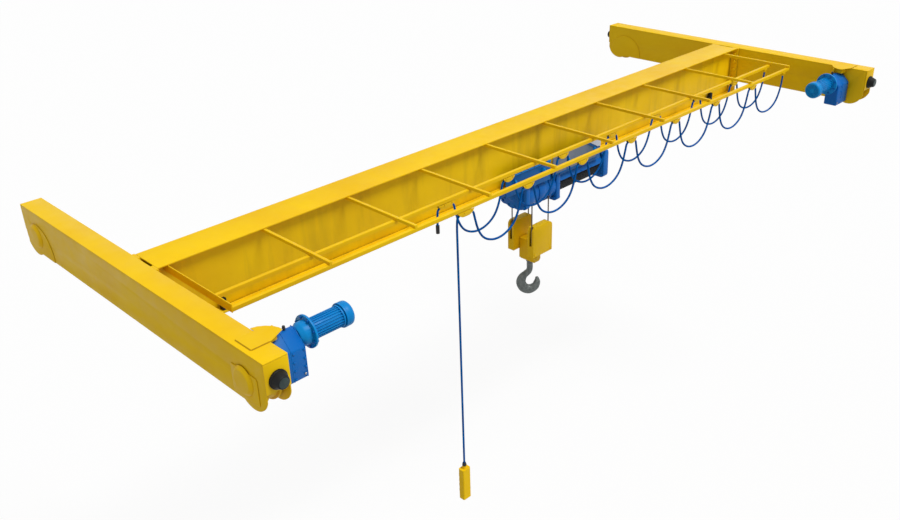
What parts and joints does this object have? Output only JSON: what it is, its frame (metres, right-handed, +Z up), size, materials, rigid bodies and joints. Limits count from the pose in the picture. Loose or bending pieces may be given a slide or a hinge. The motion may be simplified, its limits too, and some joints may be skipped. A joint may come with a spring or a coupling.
{
  "type": "overhead travelling crane",
  "caption": "Single-girder overhead bridge crane: end carriages with travel drives, wire rope hoist with hook block, looped supply cables and a hanging pendant.",
  "frame": {"origin": "mid-span and mid-wheelbase, on the plane of the runway rails' tops", "axes": "+X along the span towards the right carriage, -Y towards the cable frame, +Z up"},
  "size_m": [7.718, 3.438, 2.797],
  "materials": {
    "yellow_paint": "gloss enamel",
    "blue_paint": "gloss enamel",
    "dark_casting": "satin paint on a casting",
    "wheel_steel": "turned and rolled bright",
    "hook_steel": "forged, grey",
    "rope_steel": "stranded wire, lightly oiled",
    "black_rubber": "matte",
    "blue_cable": "matte sheath",
    "black_plastic": "matte moulding"
  },
  "bodies": {
    "bridge": {"axle_caps": "yellow_paint", "bearing_pads": "yellow_paint", "buffers": "black_rubber", "cable_end_clamps": "yellow_paint", "cable_frame_bars": "yellow_paint", "cable_rail_inner": "yellow_paint", "cable_rail_outer": "yellow_paint", "cable_saddles": "yellow_paint", "carriage_bottom_plates": "yellow_paint", "carriage_cover_plates": "yellow_paint", "carriage_end_plates": "yellow_paint", "carriage_sides": "yellow_paint", "drive_brackets": "yellow_paint", "girder_bottom_flange": "yellow_paint", "girder_end_plates": "yellow_paint", "girder_top_flange": "yellow_paint", "girder_webs": "yellow_paint", "hoist_cable": "blue_cable", "hoist_cable_plug": "black_plastic", "pendant_box": "yellow_paint", "pendant_buttons": "black_plastic", "pendant_cable": "blue_cable", "travel_fan_cowls": "blue_paint", "travel_motor_flanges": "blue_paint", "travel_motors": "blue_paint", "travel_reducers": "blue_paint", "trolley_end_stops": "black_rubber"},
    "hoist": {"hoist_drum_housing": "blue_paint", "hoist_end_cover": "blue_paint", "hoist_end_flange": "blue_paint", "hoist_mid_flange": "blue_paint", "hoist_motor": "dark_casting", "hoist_motor_covers": "blue_paint", "trolley_side_plates": "blue_paint", "trolley_wheels": "wheel_steel", "trolley_yokes": "blue_paint", "rope_falls": "rope_steel"},
    "hook_block": {"hook_block_housings": "yellow_paint", "hook_block_sheaves": "wheel_steel", "hook_block_crosshead": "yellow_paint"},
    "hook": {"hook": "hook_steel"},
    "left_front_wheel": {"left_front_wheel": "wheel_steel"},
    "left_back_wheel": {"left_back_wheel": "wheel_steel"},
    "right_front_wheel": {"right_front_wheel": "wheel_steel"},
    "right_back_wheel": {"right_back_wheel": "wheel_steel"}
  },
  "joints": [
    {"name": "hoist_travel", "type": "slide", "parent": "bridge", "child": "hoist", "axis": [1, 0, 0], "range_m": [-2.85, 2.02]},
    {"name": "hook_lift", "type": "slide", "parent": "hoist", "child": "hook_block", "axis": [0, 0, 1], "range_m": [-1.9, 0.12], "deforming": ["rope_falls"]},
    {"name": "hook_swivel", "type": "hinge", "parent": "hook_block", "child": "hook", "pos_m": [0.276, 0, -1.108], "axis": [0, 0, 1], "continuous": true},
    {"name": "left_front_wheel_spin", "type": "hinge", "parent": "bridge", "child": "left_front_wheel", "pos_m": [-3.75, -1.43, 0.16], "axis": [1, 0, 0], "continuous": true},
    {"name": "left_back_wheel_spin", "type": "hinge", "parent": "bridge", "child": "left_back_wheel", "pos_m": [-3.75, 1.43, 0.16], "axis": [1, 0, 0], "continuous": true},
    {"name": "right_front_wheel_spin", "type": "hinge", "parent": "bridge", "child": "right_front_wheel", "pos_m": [3.75, -1.43, 0.16], "axis": [1, 0, 0], "continuous": true},
    {"name": "right_back_wheel_spin", "type": "hinge", "parent": "bridge", "child": "right_back_wheel", "pos_m": [3.75, 1.43, 0.16], "axis": [1, 0, 0], "continuous": true}
  ]
}
